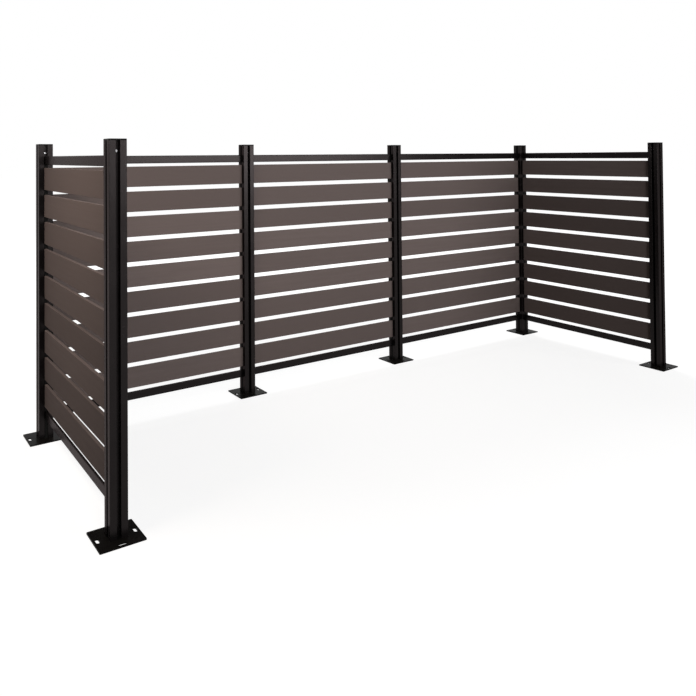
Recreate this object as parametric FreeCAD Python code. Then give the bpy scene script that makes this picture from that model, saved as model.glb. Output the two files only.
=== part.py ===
import FreeCAD, Part

import math
import os

from FreeCAD import Vector

# A free-standing slatted screen for wheeled bins: three bays across the back and one along each side
# Lengths are millimetres. The floor is z = 0, the back runs along X and the open front faces -Y
# Slats and rails end in slots down the posts, where a stack of spacers on the base plate carries them

# Whole screen
screen_height = 1200.0

# Slats
slat_length = 900.0
wide_slat_length = 1020.0
slat_height = 90.0
slat_thickness = 12.0
slat_edge_radius = 1.2
slat_gap = 20.0

# Rails above and below the slats
rail_height = 35.0
rail_thickness = 9.0
rail_wall = 1.6
rail_edge_radius = 2.5
top_rail_gap = 13.0
bottom_rail_gap = 17.0
least_rail_clearance = 60.0

# Posts
post_width = 55.0
post_above_rail = 45.0
post_corner_radius = 1.5
post_wall = 2.0
slot_side_clearance = 0.5
slot_mouth_chamfer = 0.6
slot_end_clearance = 5.5
core_width = 19.0
core_wall = 3.5
port_wall = 1.8
port_overlap = 1.0

# Spacers and foot spacers in the slots
spacer_recess = 2.0
spacer_floor_clearance = 0.3
spacer_edge_radius = 0.8

# Base plates
plate_width = 140.0
plate_thickness = 5.0
plate_corner_radius = 3.0
plate_edge_chamfer = 0.6
anchor_slot_length = 28.0
anchor_slot_width = 11.0
anchor_slot_from_edge = 13.0

# Post caps
cap_thickness = 5.0
cap_edge_chamfer = 1.0
plug_clearance = 0.3
plug_below_screw = 8.0

# Cap screws, with pan heads in the slots
cap_screw_above_rail = 9.0
cap_screw_diameter = 4.0
cap_screw_tip_clearance = 0.8
cap_screw_clearance = 0.2
pan_head_diameter = 8.0
pan_head_height = 2.6
pan_head_edge_radius = 1.0
cap_recess_width = 2.0
cap_recess_depth = 1.2

# Base screws, with countersunk heads flush under the plate
base_screw_diameter = 5.0
base_screw_reach = 20.0
base_screw_clearance = 0.2
flat_head_diameter = 10.0
flat_head_sink = 0.3
base_recess_width = 2.5
base_recess_depth = 1.5

# Room that every cut runs past the face it opens
overrun = 1.0

# An edge follows a direction when this share of its run lies along it
straight_share = 0.999

# Heights of the stack: as many slats as fit in the post, with the rest of the height left under the bottom rail
pitch = slat_height + slat_gap
post_top_z = screen_height - cap_thickness
slat_room = post_top_z - post_above_rail - 2 * rail_height - top_rail_gap - bottom_rail_gap
slats_per_bay = int((slat_room - least_rail_clearance + slat_gap) // pitch)
bottom_rail_z = slat_room - (pitch * slats_per_bay - slat_gap)
first_slat_z = bottom_rail_z + rail_height + bottom_rail_gap
last_slat_top_z = first_slat_z + pitch * slats_per_bay - slat_gap
top_rail_z = last_slat_top_z + top_rail_gap
post_length = post_top_z - plate_thickness
cap_screw_z = top_rail_z + rail_height + cap_screw_above_rail + pan_head_diameter / 2

# Post section, as distances from the post's axis
post_half = post_width / 2
slot_half = slat_thickness / 2 + slot_side_clearance
slot_floor = core_width / 2
core_half = slot_floor - core_wall
chamber_near = slot_half + post_wall
chamber_size = post_half - post_wall - chamber_near
port_radius = base_screw_diameter / 2 + base_screw_clearance
port_boss_radius = port_radius + port_wall
port_place = chamber_near + port_boss_radius - port_overlap

# Plan: slats reach into the slots, so the post centres follow from the slats
slot_engagement = post_half - slot_floor - slot_end_clearance
bay = slat_length - 2 * slot_engagement + post_width
wide_bay = wide_slat_length - 2 * slot_engagement + post_width
back_width = bay + bay + wide_bay
left_x = -back_width / 2
inner_left_x = left_x + bay
inner_right_x = inner_left_x + bay
right_x = -left_x
back_y = bay / 2
front_y = -back_y

post_places = {
    "front_left": Vector(left_x, front_y, 0),
    "back_left": Vector(left_x, back_y, 0),
    "back_inner_left": Vector(inner_left_x, back_y, 0),
    "back_inner_right": Vector(inner_right_x, back_y, 0),
    "back_right": Vector(right_x, back_y, 0),
    "front_right": Vector(right_x, front_y, 0),
}

# Each bay: the post where it starts, the post where it ends and its slats' length
bays = {
    "left": ("front_left", "back_left", slat_length),
    "back_left": ("back_left", "back_inner_left", slat_length),
    "back_middle": ("back_inner_left", "back_inner_right", slat_length),
    "back_right": ("back_inner_right", "back_right", wide_slat_length),
    "right": ("front_right", "back_right", slat_length),
}

AXIS_X = Vector(1, 0, 0)
AXIS_Z = Vector(0, 0, 1)
ORIGIN = Vector(0, 0, 0)
QUARTER_TURNS = (0, 90, 180, 270)


def turned(shape, degrees):
    """A copy of a shape, turned about the Z axis."""
    copy = shape.copy()
    copy.rotate(ORIGIN, AXIS_Z, degrees)
    return copy


def moved(shape, place):
    """A copy of a shape, moved by a vector."""
    copy = shape.copy()
    copy.translate(place)
    return copy


def block(x_size, y_size, z_size, x_mid=0, y_mid=0, z_low=0):
    """A box given by its sizes, the middle of its plan and its lowest height."""
    corner = Vector(x_mid - x_size / 2, y_mid - y_size / 2, z_low)
    return Part.makeBox(x_size, y_size, z_size, corner)


def edges_along(shape, direction):
    """The straight edges of a shape that run along a direction."""
    found = []
    for edge in shape.Edges:
        run = edge.Vertexes[-1].Point - edge.Vertexes[0].Point
        if run.Length > 0 and abs(run.normalize().dot(direction)) > straight_share:
            found.append(edge)
    return found


def rounded_along(shape, direction, radius):
    """A box whose edges along one direction are rounded."""
    return shape.makeFillet(radius, edges_along(shape, direction))


def prism(points, height):
    """A solid pushed up from a flat outline."""
    return Part.Face(Part.makePolygon(points + points[:1])).extrude(AXIS_Z * height)


def slot_cutter(length, z_low):
    """The slot down the post's +X face, flared a little at its mouth."""
    flare_start = post_half - slot_mouth_chamfer
    flare_half = slot_half + slot_mouth_chamfer
    outer = post_half + overrun
    side = [
        (slot_floor, slot_half),
        (flare_start, slot_half),
        (post_half, flare_half),
        (outer, flare_half),
    ]
    points = [Vector(x, -y, z_low) for x, y in side]
    points += [Vector(x, y, z_low) for x, y in reversed(side)]
    return prism(points, length)


def chamber_cutter(length, z_low):
    """The hollow in the +X +Y corner of the post, less the boss round its screw port."""
    middle = chamber_near + chamber_size / 2
    hollow = block(chamber_size, chamber_size, length, middle, middle, z_low)
    boss = Part.makeCylinder(port_boss_radius, length, Vector(port_place, port_place, z_low))
    return hollow.cut(boss)


def cap_screw_hole(radius, start, end):
    """A hole across the post's core, along +X at the height of the cap screws."""
    return Part.makeCylinder(radius, end - start, Vector(start, 0, cap_screw_z), AXIS_X)


def make_post():
    """A hollow square profile with four slots, four corner chambers, screw ports and a square core."""
    body = block(post_width, post_width, post_length, z_low=plate_thickness)
    body = rounded_along(body, AXIS_Z, post_corner_radius)
    cut_length = post_length + 2 * overrun
    cut_z = plate_thickness - overrun
    port = Part.makeCylinder(port_radius, cut_length, Vector(port_place, port_place, cut_z))
    hole = cap_screw_hole(cap_screw_diameter / 2 + cap_screw_clearance, 0, slot_floor + overrun)
    tools = [block(2 * core_half, 2 * core_half, cut_length, z_low=cut_z)]
    for turn in QUARTER_TURNS:
        tools.append(turned(slot_cutter(cut_length, cut_z), turn))
        tools.append(turned(chamber_cutter(cut_length, cut_z), turn))
        tools.append(turned(port, turn))
        tools.append(turned(hole, turn))
    return body.cut(tools)


def make_post_cap():
    """A flat lid, flush with the post, with a square plug that the cap screws hold in the core."""
    lid = block(post_width, post_width, cap_thickness, z_low=post_top_z)
    lid = rounded_along(lid, AXIS_Z, post_corner_radius)
    top_face = max(lid.Faces, key=lambda face: face.CenterOfMass.z)
    lid = lid.makeChamfer(cap_edge_chamfer, top_face.Edges)
    plug_half = core_half - plug_clearance
    plug_low = cap_screw_z - plug_below_screw
    plug = block(2 * plug_half, 2 * plug_half, post_top_z - plug_low, z_low=plug_low)
    pilot = cap_screw_hole(cap_screw_diameter / 2 + cap_screw_clearance, 0, plug_half + overrun)
    cap = lid.fuse(plug).removeSplitter()
    return cap.cut([turned(pilot, turn) for turn in QUARTER_TURNS])


def make_cap_screw():
    """A pan-head screw along +X: its head stands on the slot's floor and its tip bites the plug."""
    head = Part.makeCylinder(pan_head_diameter / 2, pan_head_height)
    rim = max(head.Edges, key=lambda edge: edge.CenterOfMass.z)
    head = head.makeFillet(pan_head_edge_radius, [rim])
    shank_length = slot_floor - cap_screw_diameter / 2 - cap_screw_tip_clearance
    shank = Part.makeCylinder(cap_screw_diameter / 2, shank_length, Vector(0, 0, -shank_length))
    recess_low = pan_head_height - cap_recess_depth
    recess = block(cap_recess_width, pan_head_diameter / 2, cap_recess_depth + overrun, z_low=recess_low)
    screw = head.fuse(shank).removeSplitter().cut([recess, turned(recess, 90)])
    screw.rotate(ORIGIN, Vector(0, 1, 0), 90)
    screw.translate(Vector(slot_floor, 0, cap_screw_z))
    return screw


def make_base_screw():
    """A countersunk screw that points up through the plate, with its head just inside the plate."""
    head_height = (flat_head_diameter - base_screw_diameter) / 2
    head = Part.makeCone(flat_head_diameter / 2, base_screw_diameter / 2, head_height)
    shank_length = plate_thickness + base_screw_reach - flat_head_sink
    shank = Part.makeCylinder(base_screw_diameter / 2, shank_length)
    recess = block(base_recess_width, flat_head_diameter / 2, base_recess_depth + overrun, z_low=-overrun)
    screw = head.fuse(shank).removeSplitter().cut([recess, turned(recess, 90)])
    screw.translate(Vector(port_place, port_place, flat_head_sink))
    return screw


def countersunk_hole():
    """The hole for a base screw, wider than the screw all round."""
    radius = base_screw_diameter / 2 + base_screw_clearance
    mouth = flat_head_diameter / 2 + base_screw_clearance + flat_head_sink
    through = Part.makeCylinder(radius, plate_thickness + 2 * overrun, Vector(0, 0, -overrun))
    sink = Part.makeCone(mouth + overrun, radius, mouth - radius + overrun, Vector(0, 0, -overrun))
    return moved(through.fuse(sink), Vector(port_place, port_place, 0))


def anchor_slot():
    """A slotted hole along the plate's +Y edge, with round ends."""
    straight = anchor_slot_length - anchor_slot_width
    radius = anchor_slot_width / 2
    place_y = plate_width / 2 - anchor_slot_from_edge
    depth = plate_thickness + 2 * overrun
    cutter = block(straight, anchor_slot_width, depth, 0, place_y, -overrun)
    for end_x in (-straight / 2, straight / 2):
        cutter = cutter.fuse(Part.makeCylinder(radius, depth, Vector(end_x, place_y, -overrun)))
    return cutter.removeSplitter()


def make_base_plate():
    """A square plate with four anchor slots and four countersunk holes for the base screws."""
    plate = block(plate_width, plate_width, plate_thickness)
    plate = rounded_along(plate, AXIS_Z, plate_corner_radius)
    top_face = max(plate.Faces, key=lambda face: face.CenterOfMass.z)
    plate = plate.makeChamfer(plate_edge_chamfer, top_face.Edges)
    tools = [turned(anchor_slot(), turn) for turn in QUARTER_TURNS]
    tools += [turned(countersunk_hole(), turn) for turn in QUARTER_TURNS]
    return plate.cut(tools)


def make_slat(length):
    """A flat board on edge along X, with eased long edges, centred on its bay."""
    board = block(length, slat_thickness, slat_height)
    return rounded_along(board, AXIS_X, slat_edge_radius)


def make_rail(length):
    """A hollow flat bar along X, thinner than a slat and open at its ends, centred on its bay."""
    bar = block(length, rail_thickness, rail_height)
    bar = rounded_along(bar, AXIS_X, rail_edge_radius)
    hollow_width = rail_thickness - 2 * rail_wall
    hollow_height = rail_height - 2 * rail_wall
    hollow = block(length + 2 * overrun, hollow_width, hollow_height, z_low=rail_wall)
    return bar.cut(rounded_along(hollow, AXIS_X, rail_edge_radius - rail_wall))


def make_spacer(height):
    """A block that fills the slot between two slats, with its visible edges eased."""
    outer = post_half - spacer_recess
    inner = slot_floor + spacer_floor_clearance
    spacer = block(outer - inner, slat_thickness, height, (outer + inner) / 2)
    visible = [edge for edge in edges_along(spacer, AXIS_Z) if edge.CenterOfMass.x > inner]
    return spacer.makeFillet(spacer_edge_radius, visible)


def at_both_ends(shape, length):
    """A piece made for the post where a bay starts, and the same piece at the post where it ends."""
    half_bay = length / 2 - slot_engagement + post_half
    start = moved(shape, Vector(-half_bay, 0, 0))
    return [start, turned(start, 180)]


def slat_heights():
    """The height of each slat's lower edge."""
    return [first_slat_z + pitch * number for number in range(slats_per_bay)]


def bay_pieces(length):
    """The pieces of one bay, standing across the middle of the floor along X."""
    rail = make_rail(length)
    slat = make_slat(length)
    gaps = [(slat_z - slat_gap, slat_gap) for slat_z in slat_heights()[1:]]
    gaps += [(first_slat_z - bottom_rail_gap, bottom_rail_gap), (last_slat_top_z, top_rail_gap)]
    spacers = []
    for gap_z, gap in gaps:
        spacers += at_both_ends(moved(make_spacer(gap), Vector(0, 0, gap_z)), length)
    foot_spacer = make_spacer(bottom_rail_z - plate_thickness)
    feet = at_both_ends(moved(foot_spacer, Vector(0, 0, plate_thickness)), length)
    return {
        "top_rail": [moved(rail, Vector(0, 0, top_rail_z))],
        "bottom_rail": [moved(rail, Vector(0, 0, bottom_rail_z))],
        "slats": [moved(slat, Vector(0, 0, slat_z)) for slat_z in slat_heights()],
        "spacers": spacers,
        "foot_spacers": feet,
    }


def four_round(shape):
    """The same piece on all four sides of a post."""
    return [turned(shape, turn) for turn in QUARTER_TURNS]


def save(node, solids, place, turn=0):
    """Puts the solids in their place and writes them as one node."""
    placed = [moved(turned(solid, turn), place) for solid in solids]
    shape = placed[0] if len(placed) == 1 else Part.makeCompound(placed)
    shape.exportStep(os.path.join("parts", node + ".step"))
    print(node, len(shape.Solids), round(shape.Volume), shape.isValid())


os.makedirs("parts", exist_ok=True)

post_pieces = {
    "post": [make_post()],
    "base_plate": [make_base_plate()],
    "post_cap": [make_post_cap()],
    "cap_screws": four_round(make_cap_screw()),
    "base_screws": four_round(make_base_screw()),
}
for post_name, place in post_places.items():
    for piece_name, solids in post_pieces.items():
        save(piece_name + "_" + post_name, solids, place)

for bay_name, (start_post, end_post, length) in bays.items():
    start, end = post_places[start_post], post_places[end_post]
    middle = (start + end) * 0.5
    turn = math.degrees(AXIS_X.getAngle(end - start))
    for piece_name, solids in bay_pieces(length).items():
        save(bay_name + "_" + piece_name, solids, middle, turn)
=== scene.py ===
import math

import bpy
import numpy as np
from mathutils import Matrix, Vector


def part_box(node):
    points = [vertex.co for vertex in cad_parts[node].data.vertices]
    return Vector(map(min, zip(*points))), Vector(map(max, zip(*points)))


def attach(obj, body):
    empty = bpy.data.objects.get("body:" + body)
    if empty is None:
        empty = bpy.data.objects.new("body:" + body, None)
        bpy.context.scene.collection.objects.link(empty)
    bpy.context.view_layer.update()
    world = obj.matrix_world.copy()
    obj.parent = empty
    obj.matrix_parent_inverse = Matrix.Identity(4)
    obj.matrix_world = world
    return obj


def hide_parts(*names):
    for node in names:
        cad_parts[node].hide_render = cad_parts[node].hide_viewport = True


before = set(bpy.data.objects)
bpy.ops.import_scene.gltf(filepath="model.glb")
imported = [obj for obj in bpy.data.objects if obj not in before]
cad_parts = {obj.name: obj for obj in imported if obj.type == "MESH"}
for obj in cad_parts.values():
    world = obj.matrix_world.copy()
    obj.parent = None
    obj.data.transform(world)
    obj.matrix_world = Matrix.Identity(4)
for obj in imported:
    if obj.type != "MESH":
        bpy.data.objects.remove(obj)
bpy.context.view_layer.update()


# Base plates. Each post stands on a square of 5 mm steel with a slot along each edge for a floor
# anchor. The plate is cut flat, its top edge is broken, and it is powder-coated in a smooth black.

def add(tree, kind, inputs=None, **settings):
    """One shader node: settings are its own options, inputs are values or another node's output."""
    node = tree.nodes.new("ShaderNode" + kind)
    for name, value in settings.items():
        setattr(node, name, value)
    for name, value in (inputs or {}).items():
        if isinstance(value, bpy.types.NodeSocket):
            tree.links.new(value, node.inputs[name])
        else:
            node.inputs[name].default_value = value
    return node


def reckon(tree, operation, *values):
    """One sum, such as ADD or MULTIPLY, on numbers or on outputs of nodes."""
    return add(tree, "Math", dict(enumerate(values)), operation=operation).outputs[0]


def spread(tree, value, low=0.0, high=1.0, start=0.0, end=1.0):
    """A number that goes from low to high as a value goes from start to end."""
    ends = {"From Min": start, "From Max": end, "To Min": low, "To Max": high}
    return add(tree, "MapRange", {"Value": value, **ends}).outputs["Result"]


def between(tree, share, low, high):
    """A colour that goes from low to high as a share goes from 0 to 1: either may be a node's output."""
    factor, first, second, result = 0, 6, 7, 2
    low, high = (end if isinstance(end, bpy.types.NodeSocket) else (*end, 1.0) for end in (low, high))
    mix = add(tree, "Mix", {factor: share, first: low, second: high}, data_type="RGBA")
    return mix.outputs[result]


def noise(tree, place, scale, detail, roughness=0.5):
    """Soft noise: the scale says how often it changes, and the detail how many finer layers it has."""
    layers = {"Scale": scale, "Detail": detail, "Roughness": roughness}
    return add(tree, "TexNoise", {"Vector": place, **layers}).outputs["Fac"]


def new_effect(name, inputs, outputs):
    """An empty node group with named sockets, and its two end nodes."""
    effect = bpy.data.node_groups.new(name, "ShaderNodeTree")
    for socket, kind in inputs.items():
        effect.interface.new_socket(name=socket, in_out="INPUT", socket_type="NodeSocket" + kind)
    for socket in outputs:
        effect.interface.new_socket(name=socket, in_out="OUTPUT", socket_type="NodeSocketFloat")
    return effect, effect.nodes.new("NodeGroupInput"), effect.nodes.new("NodeGroupOutput")


def use(tree, effect, **inputs):
    """One copy of an effect in a material, with its own values."""
    node = tree.nodes.new("ShaderNodeGroup")
    node.node_tree = effect
    for name, value in inputs.items():
        node.inputs[name].default_value = value
    return node.outputs


def new_finish(name, **sockets):
    """A material whose shader holds the values that are the same all over the surface."""
    finish = bpy.data.materials.new(name)
    finish.use_nodes = True
    shader = finish.node_tree.nodes["Principled BSDF"]
    for socket, value in sockets.items():
        shader.inputs[socket.replace("_", " ")].default_value = value
    return finish, finish.node_tree, shader


def cover(tree, shader, colour, roughness):
    """Joins a colour and a roughness that change over the surface to the shader."""
    tree.links.new(colour, shader.inputs["Base Color"])
    tree.links.new(roughness, shader.inputs["Roughness"])


def roughen(tree, shader, height, strength, depth):
    """Lets a height lean the surface, where depth is the real depth of the grain in metres."""
    bump = add(tree, "Bump", {"Height": height, "Strength": strength, "Distance": depth})
    tree.links.new(bump.outputs["Normal"], shader.inputs["Normal"])


def dress(name_part, finish):
    """Gives a finish to every CAD node whose name starts or ends that way."""
    for name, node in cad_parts.items():
        if name.startswith(name_part) or name.endswith(name_part):
            node.data.materials.clear()
            node.data.materials.append(finish)


# The skin of a coat or a moulding: shallow pebbles a millimetre or so across, and patches of a
# hand's width where the coat came out a little thicker
patches_per_metre = 14.0
coat_skin, skin_in, skin_out = new_effect("coat_skin", {"Grain": "Float"}, ["Height", "Mottle"])
skin_place = add(coat_skin, "TexCoord").outputs["Object"]
pebbles = noise(coat_skin, skin_place, skin_in.outputs["Grain"], detail=2.0)
patches = noise(coat_skin, skin_place, patches_per_metre, detail=3.0)
coat_skin.links.new(pebbles, skin_out.inputs["Height"])
coat_skin.links.new(patches, skin_out.inputs["Mottle"])

# Dust that settles where a face looks up, in drifts a few centimetres long
dust_colour = (0.20, 0.18, 0.16)
drifts_per_metre = 38.0
settled_dust, dust_in, dust_out = new_effect("settled_dust", {"Amount": "Float"}, ["Mask"])
dust_place = add(settled_dust, "TexCoord").outputs["Object"]
drifts = noise(settled_dust, dust_place, drifts_per_metre, detail=6.0, roughness=0.7)
facing = add(settled_dust, "SeparateXYZ", {"Vector": add(settled_dust, "NewGeometry").outputs["Normal"]})
upward = spread(settled_dust, facing.outputs["Z"], start=0.6, end=1.0)
lying = reckon(settled_dust, "MULTIPLY", drifts, upward)
dust_mask = reckon(settled_dust, "MULTIPLY", lying, dust_in.outputs["Amount"])
settled_dust.links.new(dust_mask, dust_out.inputs["Mask"])

plate_finish, tree, shader = new_finish("plate_coat", Specular_IOR_Level=0.015)
skin = use(tree, coat_skin, Grain=520.0)
dust = use(tree, settled_dust, Amount=0.02)
plate_black = between(tree, skin["Mottle"], (0.0040, 0.0036, 0.0034), (0.0070, 0.0064, 0.0060))
dusted = between(tree, dust["Mask"], plate_black, dust_colour)
cover(tree, shader, dusted, spread(tree, skin["Mottle"], 0.22, 0.34))
roughen(tree, shader, skin["Height"], strength=0.10, depth=0.0002)
dress("base_plate_", plate_finish)


# Base screws. Four countersunk steel screws come up through each plate into the ports of the post,
# so the post has no bracket that shows. They are turned, zinc-plated and left bare.

steel_finish, tree, shader = new_finish("screw_steel", Metallic=1.0)
skin = use(tree, coat_skin, Grain=2600.0)
steel = between(tree, skin["Mottle"], (0.28, 0.28, 0.285), (0.40, 0.40, 0.405))
cover(tree, shader, steel, spread(tree, skin["Height"], 0.22, 0.42))
roughen(tree, shader, skin["Height"], strength=0.15, depth=0.0001)
dress("base_screws_", steel_finish)


# Posts. Square aluminium profiles with a slot down each face, pressed through a die and given a dark
# charcoal finish with a satin sheen like a metal's. The die leaves faint straight lines along the
# length, under the fine skin of the finish.

# Lines that a die leaves: the stretch says how often they change along each axis, per metre
die_lines, die_wander = 420.0, 1.6
drawn_lines, lines_in, lines_out = new_effect("drawn_lines", {"Stretch": "Vector"}, ["Height", "Streak"])
lines_place = add(drawn_lines, "TexCoord").outputs["Object"]
stretch_sockets = {0: lines_place, 1: lines_in.outputs["Stretch"]}
stretched = add(drawn_lines, "VectorMath", stretch_sockets, operation="MULTIPLY").outputs[0]
fine = noise(drawn_lines, stretched, scale=1.0, detail=3.0)
broad = noise(drawn_lines, stretched, scale=0.11, detail=2.0)
drawn_lines.links.new(fine, lines_out.inputs["Height"])
drawn_lines.links.new(broad, lines_out.inputs["Streak"])


def drawn_profile(name, stretch):
    """The dark satin finish of a drawn profile: the edge tint keeps it dark where it is seen aslant."""
    edge_tint = (0.56, 0.53, 0.53, 1.0)
    finish, tree, shader = new_finish(
        name, Metallic=0.75, Specular_IOR_Level=0.0, Specular_Tint=edge_tint)
    skin = use(tree, coat_skin, Grain=900.0)
    lines = use(tree, drawn_lines, Stretch=stretch)
    dust = use(tree, settled_dust, Amount=0.05)
    tone = reckon(tree, "MULTIPLY", skin["Mottle"], lines["Streak"])
    charcoal = between(tree, tone, (0.0138, 0.0119, 0.0119), (0.0228, 0.0198, 0.0198))
    dusted = between(tree, dust["Mask"], charcoal, dust_colour)
    cover(tree, shader, dusted, spread(tree, skin["Mottle"], 0.21, 0.32))
    relief = reckon(tree, "ADD", skin["Height"], lines["Height"])
    roughen(tree, shader, relief, strength=0.025, depth=0.0002)
    return finish


dress(("post_front", "post_back"), drawn_profile("post_coat", (die_lines, die_lines, die_wander)))


# Spacers. Black nylon blocks stacked in the slots of the posts: a tall one on the base plate carries
# the bottom rail, and short ones keep the slats apart. They are moulded with a fine matte texture.

def moulded(name, dark, pale, smoothest, roughest):
    """Moulded plastic: an even spark-eroded grain, a little uneven in tone."""
    finish, tree, shader = new_finish(name, Specular_IOR_Level=0.03)
    skin = use(tree, coat_skin, Grain=1700.0)
    black = between(tree, skin["Mottle"], dark, pale)
    cover(tree, shader, black, spread(tree, skin["Height"], smoothest, roughest))
    roughen(tree, shader, skin["Height"], strength=0.3, depth=0.0001)
    return finish


spacer_dark, spacer_pale = (0.006, 0.006, 0.006), (0.010, 0.0095, 0.009)
dress("spacers", moulded("spacer_plastic", spacer_dark, spacer_pale, smoothest=0.55, roughest=0.75))


# Rails. A hollow aluminium bar lies under the slats of each bay and another closes them at the top.
# They have the posts' dark finish, with the die's lines along the bar.

dress("_rail", drawn_profile("rail_coat", (die_wander, die_wander, die_lines)))


# Slats. Boards of wood and plastic composite, pressed through a die, brushed along their length and
# sawn off, with eased long edges. They stand on edge in the slots, one above another, a spacer apart.

slat_height = 0.090
slat_gap = 0.020
slat_edge_radius = 0.0012
arc_steps = 5
stations_per_board = 25
board_bow = 0.0004
grain_shift = 50
random = np.random.default_rng(11)


def board_outline(thickness, height):
    """A rectangle with quarter-circle corners, as points and outward directions.

    Each corner's centre lies one radius inside the corner, and its points lie one radius out from
    there as the angle goes through a quarter turn."""
    corner = np.repeat(np.arange(4), arc_steps + 1)
    share = np.tile(np.linspace(0, 1, arc_steps + 1), 4)
    angle = (corner + share) * math.pi / 2
    outward = np.stack([np.cos(angle), np.sin(angle)], axis=1)
    side = np.array([[1, 1], [-1, 1], [-1, -1], [1, -1]])[corner]
    centre = side * (np.array([thickness, height]) / 2 - slat_edge_radius)
    return centre + slat_edge_radius * outward, outward


def stacked_boards(name, along, across, length, thickness, middle, heights):
    """Boards of one bay: the outline is carried in a straight line from one sawn end to the other.

    A point is the bay's middle, plus its station along the bay, plus the outline's first coordinate
    across the bay and its second one up, plus a bow that is nothing at the ends and greatest half-way."""
    outline, outward = board_outline(thickness, slat_height)
    around = len(outline)
    stations = np.linspace(-length / 2, length / 2, stations_per_board)
    boards = len(heights)
    up = np.array([0.0, 0.0, 1.0])
    bow = random.uniform(-board_bow, board_bow, boards)[:, None] * np.cos(math.pi * stations / length)
    flat = stations[None, :, None, None] * along + outline[None, None, :, :1] * across
    raised = outline[None, None, :, 1:] * up + np.array(heights)[:, None, None, None] * up
    points = middle + flat + raised + bow[:, :, None, None] * across
    index = np.arange(points.size // 3).reshape(boards, stations_per_board, around)
    following = np.roll(index, -1, axis=2)
    near, far = np.s_[:, :-1], np.s_[:, 1:]
    sides = np.stack([index[near], following[near], following[far], index[far]], axis=-1).reshape(-1, 4)
    ends = np.concatenate([index[:, 0, ::-1], index[:, -1]])
    mesh = bpy.data.meshes.new(name)
    mesh.from_pydata(points.reshape(-1, 3).tolist(), [], sides.tolist() + ends.tolist())

    # The map runs in metres along the board and round it, from a place of its own for each board
    step = np.linalg.norm(np.roll(outline, -1, axis=0) - outline, axis=1)
    girth = np.concatenate([[0], np.cumsum(step)])
    shift = random.uniform(0, grain_shift, boards)[:, None, None]
    u = np.broadcast_to(stations[None, :, None] + shift, index.shape)
    v_here = np.broadcast_to(girth[:-1], index.shape)
    v_next = np.broadcast_to(girth[1:], index.shape)
    u_sides = np.stack([u[near], u[near], u[far], u[far]], axis=-1)
    v_sides = np.stack([v_here[near], v_next[near], v_next[far], v_here[far]], axis=-1)
    side_uv = np.stack([u_sides, v_sides], axis=-1).reshape(-1, 2)
    end_uv = np.concatenate([np.tile(outline[::-1], (boards, 1)), np.tile(outline, (boards, 1))])
    layer = mesh.uv_layers.new(name="along_and_round")
    layer.data.foreach_set("uv", np.concatenate([side_uv, end_uv]).astype(np.float32).ravel())

    # The long faces and eased edges shade as one smooth surface, and the sawn ends as flat ones
    lean = np.broadcast_to(outward[:, :1] * across + outward[:, 1:] * up, points.shape)
    lean_next = np.roll(lean, -1, axis=2)
    side_lean = np.stack([lean[near], lean_next[near], lean_next[far], lean[far]], axis=-2).reshape(-1, 3)
    end_lean = np.repeat(np.stack([-along, along]), boards * around, axis=0)
    mesh.polygons.foreach_set("use_smooth", np.ones(len(mesh.polygons), bool))
    mesh.normals_split_custom_set(np.concatenate([side_lean, end_lean]).tolist())
    tone = np.repeat(random.uniform(0, 1, boards), stations_per_board * around)
    board_tones = mesh.attributes.new("board_tone", "FLOAT", "POINT")
    board_tones.data.foreach_set("value", tone.astype(np.float32))
    piece = bpy.data.objects.new(name, mesh)
    bpy.context.scene.collection.objects.link(piece)
    return piece


def brushed(tree, place, along_per_metre, round_per_metre, detail):
    """Noise drawn out along a board: so many changes in a metre along it and in a metre round it."""
    drawn = add(tree, "Mapping", {"Vector": place, "Scale": (along_per_metre, round_per_metre, 1.0)})
    return noise(tree, drawn.outputs["Vector"], scale=1.0, detail=detail)


# The grain is broad bands and fine strokes, stronger on boards of a paler tone, with pale wood fibres
fleck_colour, fleck_strength = (0.26, 0.225, 0.205), 0.35
grain_floor = 0.5
board_finish, tree, shader = new_finish("slat_board", Specular_IOR_Level=0.03)
board_place = add(tree, "UVMap", uv_map="along_and_round").outputs["UV"]
bands = brushed(tree, board_place, along_per_metre=3.0, round_per_metre=70.0, detail=3.0)
strokes = brushed(tree, board_place, along_per_metre=18.0, round_per_metre=900.0, detail=4.0)
fibres = brushed(tree, board_place, along_per_metre=140.0, round_per_metre=1600.0, detail=2.0)
board_tone = add(tree, "Attribute", attribute_name="board_tone").outputs["Fac"]
grain = reckon(tree, "MULTIPLY_ADD", reckon(tree, "ADD", bands, strokes), board_tone, grain_floor)
grain = spread(tree, grain, start=0.6, end=1.6)
brown = between(tree, grain, (0.116, 0.0915, 0.0860), (0.152, 0.1210, 0.1140))
fleck = reckon(tree, "MULTIPLY", spread(tree, fibres, start=0.66, end=0.80), fleck_strength)
flecked = between(tree, fleck, brown, fleck_colour)
cover(tree, shader, flecked, spread(tree, strokes, 0.72, 0.88))
roughen(tree, shader, reckon(tree, "ADD", strokes, fibres), strength=0.35, depth=0.0003)

for bay in ("left", "back_left", "back_middle", "back_right", "right"):
    node = bay + "_slats"
    low, high = (np.array(corner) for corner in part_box(node))
    size = high - low
    runs_along_x = size[0] > size[1]
    along = np.array([1.0, 0.0, 0.0] if runs_along_x else [0.0, 1.0, 0.0])
    across = np.array([0.0, 1.0, 0.0] if runs_along_x else [-1.0, 0.0, 0.0])
    length, thickness = size @ along, abs(size @ across)
    count = round((size[2] + slat_gap) / (slat_height + slat_gap))
    heights = low[2] + slat_height / 2 + (slat_height + slat_gap) * np.arange(count)
    middle = (low + high) / 2 * np.array([1.0, 1.0, 0.0])
    boards = stacked_boards(bay + "_boards", along, across, length, thickness, middle, heights)
    boards.data.materials.append(board_finish)
    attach(boards, "root")
    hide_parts(node)


# Caps and cap screws. A black plastic lid with a plug closes each post, and a pan-head screw in each
# slot, just above the top rail, goes through the post's core into the plug and keeps the rails down.

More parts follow.
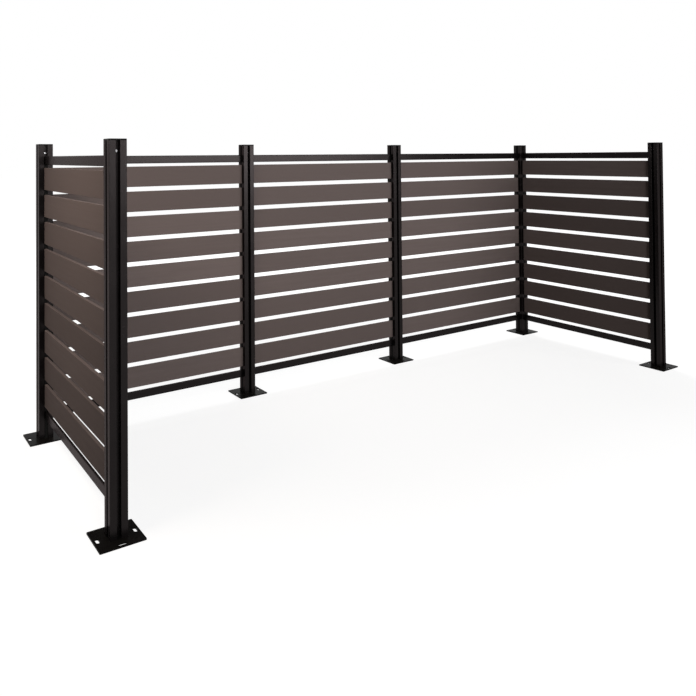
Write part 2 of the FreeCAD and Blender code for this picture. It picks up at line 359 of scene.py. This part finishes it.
cap_dark, cap_pale = (0.008, 0.0078, 0.0075), (0.013, 0.0125, 0.012)
dress("post_cap_", moulded("cap_plastic", cap_dark, cap_pale, smoothest=0.42, roughest=0.58))
dress("cap_screws_", steel_finish)


# Floor and backdrop. A wide flat floor that shows as white, with the soft shadow of the screen on it,
# in front of a white backdrop. The light that falls on the screen from them is dim.

def seen(tree):
    """1 for rays that show the floor or the backdrop, straight or in a gloss, and 0 for other light."""
    path = add(tree, "LightPath").outputs
    gloss = reckon(tree, "MAXIMUM", path["Is Glossy Ray"], path["Is Transmission Ray"])
    return reckon(tree, "MAXIMUM", gloss, path["Is Camera Ray"])


# A grid of squares at height 0
floor_half, floor_lines = 40.0, 9
floor_grid = np.linspace(-floor_half, floor_half, floor_lines)
floor_x, floor_y = np.meshgrid(floor_grid, floor_grid, indexing="ij")
floor_points = np.stack([floor_x, floor_y, np.zeros_like(floor_x)], axis=-1).reshape(-1, 3)
cell = np.arange(floor_points.shape[0]).reshape(floor_x.shape)
cells = np.stack([cell[:-1, :-1], cell[1:, :-1], cell[1:, 1:], cell[:-1, 1:]], axis=-1).reshape(-1, 4)
floor_mesh = bpy.data.meshes.new("floor")
floor_mesh.from_pydata(floor_points.tolist(), [], cells.tolist())
floor = bpy.data.objects.new("floor", floor_mesh)
bpy.context.scene.collection.objects.link(floor)

# It glows whiter with distance, because the lamps reach only the floor near the screen
floor_dim, floor_shown = (0.06, 0.06, 0.06), (0.30, 0.30, 0.30)
near_radius, far_radius = 1.2, 4.0
near_glow, far_glow = 0.82, 0.98
floor_finish = bpy.data.materials.new("floor")
floor_finish.use_nodes = True
tree = floor_finish.node_tree
tree.nodes.clear()
matt = add(tree, "BsdfDiffuse", {"Color": between(tree, seen(tree), floor_dim, floor_shown)})
far_off = add(tree, "VectorMath", {0: add(tree, "TexCoord").outputs["Object"]}, operation="LENGTH")
glow = spread(tree, far_off.outputs["Value"], near_glow, far_glow, start=near_radius, end=far_radius)
shown = reckon(tree, "MULTIPLY", glow, seen(tree))
white = add(tree, "Emission", {"Color": (1, 1, 1, 1), "Strength": shown})
both = add(tree, "AddShader", {0: matt.outputs[0], 1: white.outputs[0]})
add(tree, "OutputMaterial", {"Surface": both.outputs[0]})
floor_mesh.materials.append(floor_finish)

backdrop_dim, backdrop_shown = (0.12, 0.12, 0.12), (1.0, 1.0, 1.0)
world = bpy.data.worlds.new("sky")
bpy.context.scene.world = world
world.use_nodes = True
tree = world.node_tree
tree.nodes.clear()
sky = between(tree, seen(tree), backdrop_dim, backdrop_shown)
backdrop = add(tree, "Background", {"Color": sky, "Strength": 1.0})
add(tree, "OutputWorld", {"Surface": backdrop.outputs[0]})


# Light. A long low softbox in front lights the back bays and shines in the post tops, a gridded one
# above lifts the upper slats, and one beyond the camera looks into the slots. A small warm one lights
# the left side from close by, and two behind light the backs of the bays.

def softbox(name, place, aim, width, height, watts, fan=180, tint=(1.0, 1.0, 1.0)):
    """A rectangular lamp that faces a point. Its grid keeps the light within a fan of degrees."""
    lamp = bpy.data.lights.new(name, "AREA")
    lamp.shape = "RECTANGLE"
    lamp.size, lamp.size_y = width, height
    lamp.energy, lamp.color, lamp.spread = watts, tint, math.radians(fan)
    holder = bpy.data.objects.new(name, lamp)
    holder.location = place
    holder.rotation_euler = (Vector(aim) - Vector(place)).to_track_quat("-Z", "Y").to_euler()
    bpy.context.scene.collection.objects.link(holder)


warm_white = (1.0, 0.88, 0.77)
softbox("front_softbox", (2.2, -5.2, 1.35), (0.4, 0.2, 0.7), width=3.8, height=1.0, watts=136.0)
softbox("upper_softbox", (0.3, -3.6, 3.0), (0.1, 0.46, 1.95), width=1.6, height=0.8, watts=10.0, fan=60)
softbox("near_softbox", (-1.6, -4.4, 1.9), (-0.9, 0.3, 0.7), width=1.2, height=1.2, watts=74.0)
softbox("left_softbox", (-2.35, -0.35, 2.0), (-1.42, 0.1, 0.8), width=0.9, height=0.6, watts=6.2,
        fan=90, tint=warm_white)
softbox("back_softbox", (-3.0, 4.8, 2.5), (-1.2, 0.4, 0.9), width=3.2, height=2.4, watts=20.0)
softbox("rear_softbox", (3.0, 5.0, 4.6), (0.4, 0.3, 0.5), width=2.6, height=1.6, watts=240.0)


# Camera. It stands to the left of the open front at the height of the post tops, nearly level, with
# its picture moved down the lens so that the posts stay upright.

picture_px = 696
focal_px = 706.4
level_point_px = (335.9, 144.5)
eye = Vector((-2.1278, -2.6109, 1.1426))
turn, tilt, roll = 0.6068, 0.0159, -0.0082

forward = Vector((math.sin(turn) * math.cos(tilt), math.cos(turn) * math.cos(tilt), math.sin(tilt)))
level = Vector((math.cos(turn), -math.sin(turn), 0))
upright = level.cross(forward)
right = math.cos(roll) * level + math.sin(roll) * upright
up = math.cos(roll) * upright - math.sin(roll) * level
lens = bpy.data.cameras.new("camera")
lens.sensor_width = 36.0
lens.lens = lens.sensor_width * focal_px / picture_px
lens.shift_x = 0.5 - level_point_px[0] / picture_px
lens.shift_y = level_point_px[1] / picture_px - 0.5
camera = bpy.data.objects.new("camera", lens)
turned = Matrix((right, up, -forward)).transposed()
camera.matrix_world = Matrix.LocRotScale(eye, turned.to_quaternion(), None)
bpy.context.scene.collection.objects.link(camera)
bpy.context.scene.camera = camera
bpy.context.scene.view_settings.view_transform = "Standard"
